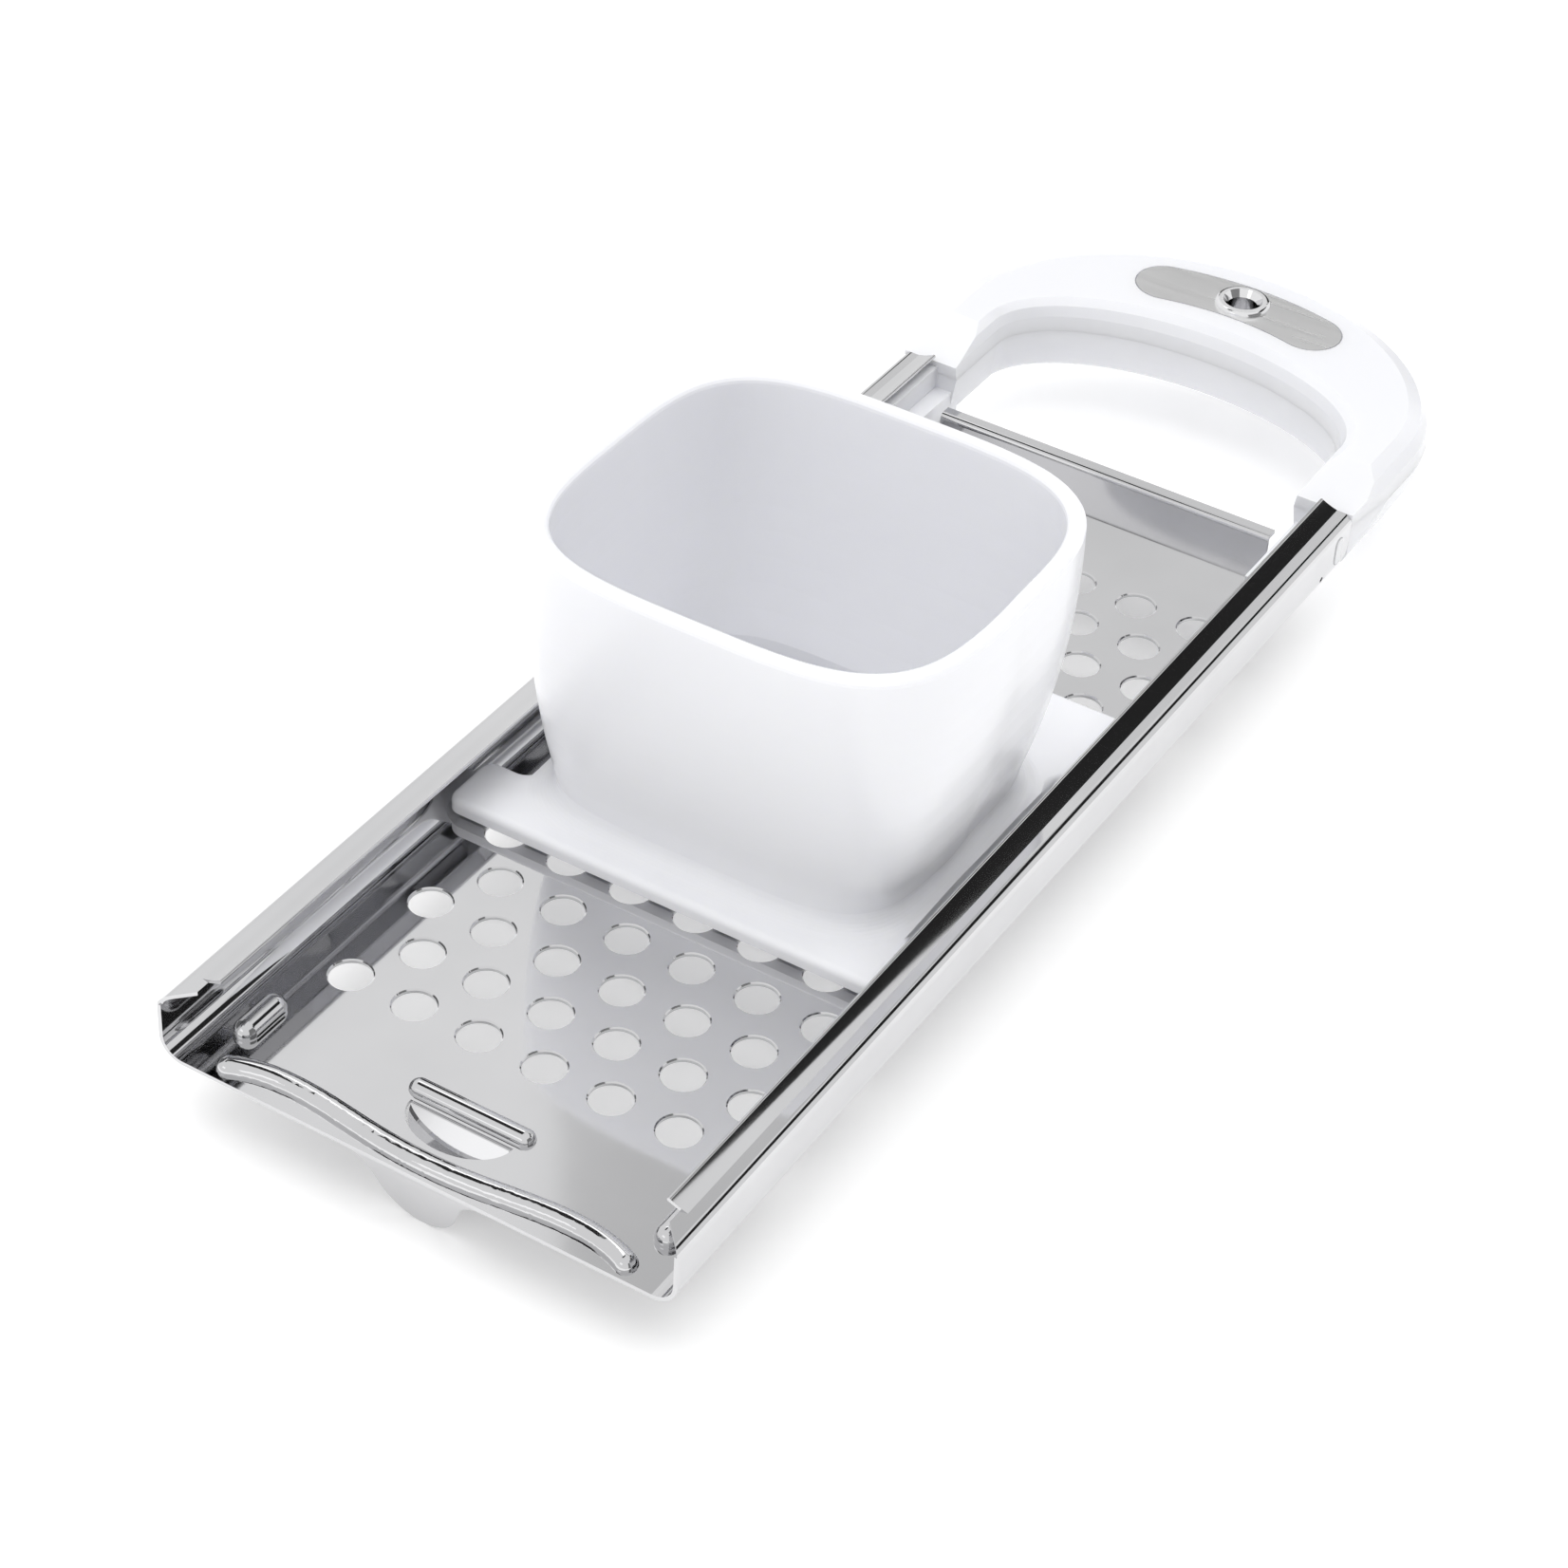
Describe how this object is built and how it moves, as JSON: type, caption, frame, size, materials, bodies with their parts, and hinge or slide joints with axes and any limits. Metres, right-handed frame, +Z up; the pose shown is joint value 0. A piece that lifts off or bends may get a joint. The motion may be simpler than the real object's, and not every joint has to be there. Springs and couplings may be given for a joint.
{
  "type": "spaetzle maker",
  "caption": "Flat perforated steel tray with folded rails, a sliding white hopper that pushes batter over the holes, a pot-rim hook at the front and a loop handle with a hanging eyelet.",
  "frame": {"origin": "centre of the footprint, level with the lowest point of the pot hook under the front lip", "axes": "+X across the tray, +Y along the tray from the front lip towards the handle, +Z up through the hopper"},
  "size_m": [0.1088, 0.32, 0.0778],
  "materials": {
    "stainless_sheet": "bright rolled stainless sheet, nearly mirror smooth",
    "white_plastic": "semi-gloss moulded white",
    "satin_steel": "fine satin",
    "polished_steel": "polished"
  },
  "bodies": {
    "tray_and_handle": {"tray": "stainless_sheet", "handle_top": "white_plastic", "handle_bottom": "white_plastic", "inlay_plate": "satin_steel", "hanging_eyelet": "polished_steel"},
    "hopper": {"hopper": "white_plastic"}
  },
  "joints": [
    {"name": "hopper_slide", "type": "slide", "parent": "tray_and_handle", "child": "hopper", "axis": [0, 1, 0], "range_m": [-0.0573, 0.0531]}
  ]
}
